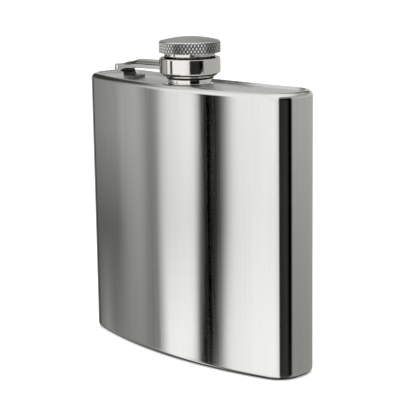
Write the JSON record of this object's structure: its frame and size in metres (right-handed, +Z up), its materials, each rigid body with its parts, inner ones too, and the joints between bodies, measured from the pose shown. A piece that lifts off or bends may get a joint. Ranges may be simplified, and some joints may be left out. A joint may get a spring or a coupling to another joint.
{
  "type": "hip flask",
  "caption": "Curved steel hip flask with a bulging front, a threaded spout and a knurled screw cap held captive by a collar on a hinged arm.",
  "frame": {"origin": "centre of the bottom of the body's box, on the surface the flask stands on", "axes": "+Z up through the spout, -Y out of the bulging front, +X along the width away from the cap's hinge"},
  "size_m": [0.094, 0.026, 0.1053],
  "materials": {
    "shell_steel": "vertical brushed grain, semi-bright",
    "plate_steel": "fine satin",
    "bright_steel": "polished",
    "hinge_steel": "blackened, satin",
    "cap_steel": "turned satin top, bright knurled grip",
    "seal": "matt silicone"
  },
  "bodies": {
    "flask": {"front_shell": "shell_steel", "back_shell": "shell_steel", "top_plate": "plate_steel", "bottom_plate": "plate_steel", "spout": "bright_steel", "hinge_bracket": "hinge_steel"},
    "arm": {"cap_arm": "bright_steel", "hinge_pin": "bright_steel", "collar_body": "bright_steel", "collar_cover": "bright_steel"},
    "cap_carrier": {"retaining_ring": "bright_steel"},
    "cap": {"cap_head": "cap_steel", "threaded_insert": "bright_steel", "cap_gasket": "seal"}
  },
  "joints": [
    {"name": "arm_swing", "type": "hinge", "parent": "flask", "child": "arm", "pos_m": [-0.0325, 0.0002, 0.09325], "axis": [0, -1, 0], "range_deg": [0, 170]},
    {"name": "cap_rise", "type": "slide", "parent": "arm", "child": "cap_carrier", "axis": [0, 0, 1], "range_m": [0, 0.00195]},
    {"name": "cap_turn", "type": "hinge", "parent": "cap_carrier", "child": "cap", "pos_m": [0, 0.0002, 0.1], "axis": [0, 0, 1], "range_deg": [0, 540]}
  ],
  "couplings": [
    {"joint": "cap_rise", "follows": "cap_turn", "m_per_rad": 0.0002069}
  ]
}
